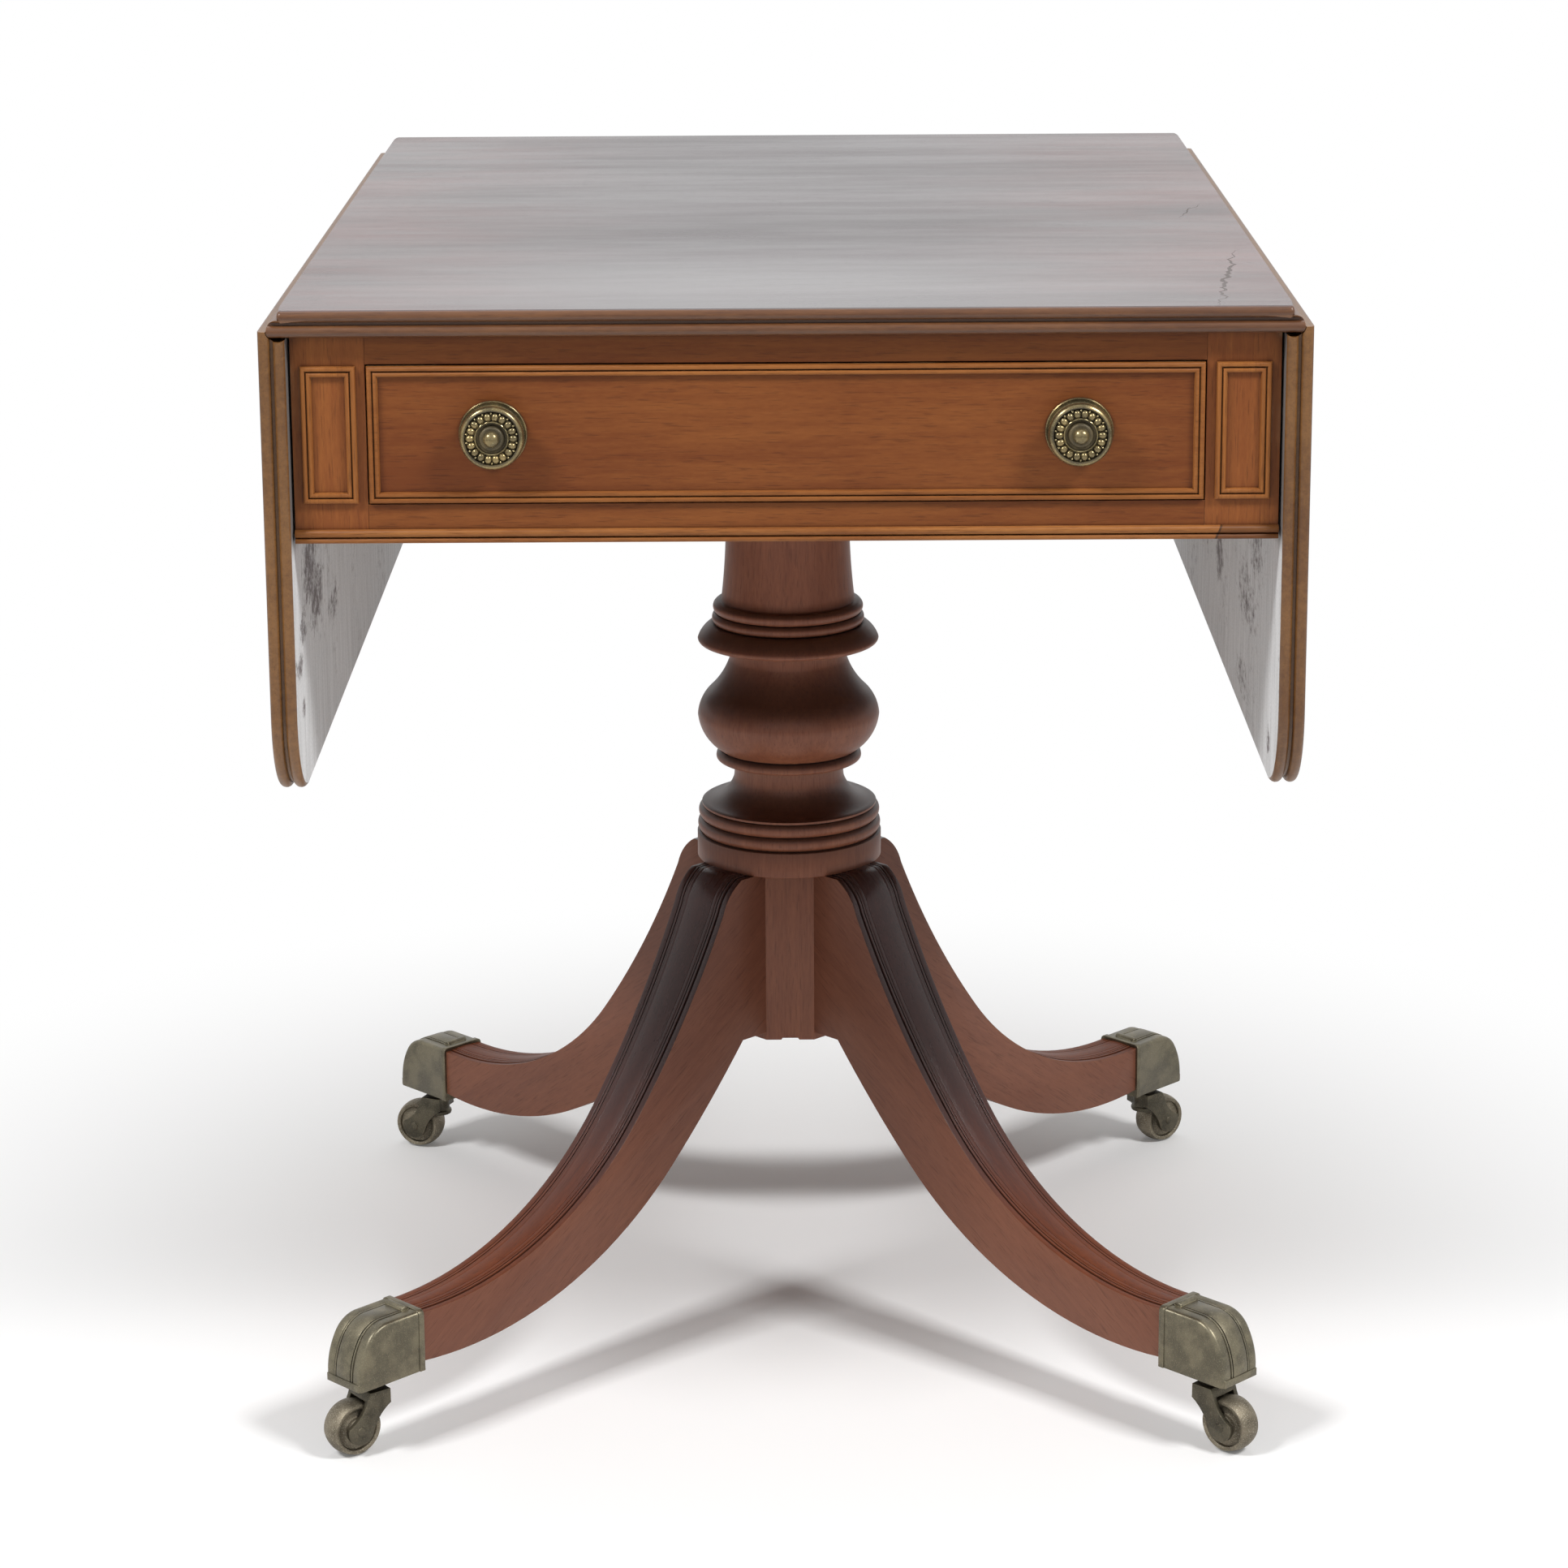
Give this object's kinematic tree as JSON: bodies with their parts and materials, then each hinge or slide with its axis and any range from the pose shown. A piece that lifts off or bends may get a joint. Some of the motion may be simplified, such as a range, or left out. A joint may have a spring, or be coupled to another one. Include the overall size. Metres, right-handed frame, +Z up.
{
  "type": "pembroke table",
  "caption": "Drop-leaf occasional table with a reeded top, frieze drawer, turned column and swept legs on brass castors.",
  "frame": {"origin": "on the floor under the column's axis, midway between the wheels' ground contacts", "axes": "+Z up, -Y towards the drawer's front, +X to the right of a person facing the drawer"},
  "size_m": [0.577, 0.7548, 0.72],
  "materials": {
    "polished_mahogany": "gloss polish",
    "frieze_mahogany": "wax polish",
    "bead_moulding": "worn polish",
    "pedestal_mahogany": "satin polish",
    "secondary_wood": "bare, dusty",
    "knob_brass": "worn, pressed",
    "antique_brass": "dull, tarnished",
    "castor_wheel_brass": "worn tread",
    "iron_fittings": "dark, plain"
  },
  "bodies": {
    "base": {"top_board": "polished_mahogany", "post_front_left": "frieze_mahogany", "post_front_right": "frieze_mahogany", "post_rear_left": "frieze_mahogany", "post_rear_right": "frieze_mahogany", "front_top_rail": "frieze_mahogany", "front_bottom_rail": "frieze_mahogany", "rear_top_rail": "frieze_mahogany", "rear_bottom_rail": "frieze_mahogany", "dummy_drawer_front": "frieze_mahogany", "post_panel_mouldings": "bead_moulding", "base_mouldings": "bead_moulding", "dummy_drawer_moulding": "bead_moulding", "side_rail_left": "secondary_wood", "side_rail_right": "secondary_wood", "fly_hinge_blocks": "secondary_wood", "drawer_runners": "secondary_wood", "drawer_kickers": "secondary_wood", "drawer_stops": "secondary_wood", "pedestal_bearer": "secondary_wood", "hinge_plates_top": "iron_fittings", "hinge_pins": "iron_fittings", "top_screws": "iron_fittings", "fly_pins": "iron_fittings", "column": "pedestal_mahogany", "leg_front_left": "pedestal_mahogany", "leg_front_right": "pedestal_mahogany", "leg_rear_left": "pedestal_mahogany", "leg_rear_right": "pedestal_mahogany", "toe_caps": "antique_brass", "dummy_knobs": "knob_brass", "dummy_knob_nuts": "knob_brass"},
    "leaf_left": {"leaf_left": "polished_mahogany", "hinge_plates_leaf_left": "iron_fittings", "hinge_screws_leaf_left": "iron_fittings"},
    "leaf_right": {"leaf_right": "polished_mahogany", "hinge_plates_leaf_right": "iron_fittings", "hinge_screws_leaf_right": "iron_fittings"},
    "drawer": {"drawer_front": "frieze_mahogany", "drawer_moulding": "bead_moulding", "drawer_side_left": "secondary_wood", "drawer_side_right": "secondary_wood", "drawer_back": "secondary_wood", "drawer_bottom": "secondary_wood", "drawer_knobs": "knob_brass", "drawer_knob_nuts": "knob_brass"},
    "fly_left": {"fly_bracket_left": "secondary_wood"},
    "fly_right": {"fly_bracket_right": "secondary_wood"},
    "castor_front_left": {"castor_fork_front_left": "antique_brass", "castor_axle_front_left": "antique_brass"},
    "wheel_front_left": {"castor_wheel_front_left": "castor_wheel_brass"},
    "castor_front_right": {"castor_fork_front_right": "antique_brass", "castor_axle_front_right": "antique_brass"},
    "wheel_front_right": {"castor_wheel_front_right": "castor_wheel_brass"},
    "castor_rear_left": {"castor_fork_rear_left": "antique_brass", "castor_axle_rear_left": "antique_brass"},
    "wheel_rear_left": {"castor_wheel_rear_left": "castor_wheel_brass"},
    "castor_rear_right": {"castor_fork_rear_right": "antique_brass", "castor_axle_rear_right": "antique_brass"},
    "wheel_rear_right": {"castor_wheel_rear_right": "castor_wheel_brass"}
  },
  "joints": [
    {"name": "leaf_left_hinge", "type": "hinge", "parent": "base", "child": "leaf_left", "pos_m": [-0.2775, 0, 0.709], "axis": [0, 1, 0], "range_deg": [0, 90]},
    {"name": "leaf_right_hinge", "type": "hinge", "parent": "base", "child": "leaf_right", "pos_m": [0.2775, 0, 0.709], "axis": [0, -1, 0], "range_deg": [0, 90]},
    {"name": "drawer_slide", "type": "slide", "parent": "base", "child": "drawer", "axis": [0, -1, 0], "range_m": [0, 0.38]},
    {"name": "fly_left_hinge", "type": "hinge", "parent": "base", "child": "fly_left", "pos_m": [-0.2512, 0.07, 0.68], "axis": [0, 0, -1], "range_deg": [0, 3.5]},
    {"name": "fly_right_hinge", "type": "hinge", "parent": "base", "child": "fly_right", "pos_m": [0.2512, 0.07, 0.68], "axis": [0, 0, 1], "range_deg": [0, 3.5]},
    {"name": "castor_front_left_swivel", "type": "hinge", "parent": "base", "child": "castor_front_left", "pos_m": [-0.25527, -0.25527, 0.046], "axis": [0, 0, 1], "continuous": true},
    {"name": "wheel_front_left_spin", "type": "hinge", "parent": "castor_front_left", "child": "wheel_front_left", "pos_m": [-0.26725, -0.26429, 0.017], "axis": [0.6018, -0.7986, 0], "continuous": true},
    {"name": "castor_front_right_swivel", "type": "hinge", "parent": "base", "child": "castor_front_right", "pos_m": [0.25527, -0.25527, 0.046], "axis": [0, 0, 1], "continuous": true},
    {"name": "wheel_front_right_spin", "type": "hinge", "parent": "castor_front_right", "child": "wheel_front_right", "pos_m": [0.26606, -0.26569, 0.017], "axis": [0.6947, 0.7193, 0], "continuous": true},
    {"name": "castor_rear_left_swivel", "type": "hinge", "parent": "base", "child": "castor_rear_left", "pos_m": [-0.25527, 0.25527, 0.046], "axis": [0, 0, 1], "continuous": true},
    {"name": "wheel_rear_left_spin", "type": "hinge", "parent": "castor_rear_left", "child": "wheel_rear_left", "pos_m": [-0.26907, 0.26113, 0.017], "axis": [-0.3907, -0.9205, 0], "continuous": true},
    {"name": "castor_rear_right_swivel", "type": "hinge", "parent": "base", "child": "castor_rear_right", "pos_m": [0.25527, 0.25527, 0.046], "axis": [0, 0, 1], "continuous": true},
    {"name": "wheel_rear_right_spin", "type": "hinge", "parent": "castor_rear_right", "child": "wheel_rear_right", "pos_m": [0.26725, 0.26429, 0.017], "axis": [-0.6018, 0.7986, 0], "continuous": true}
  ]
}
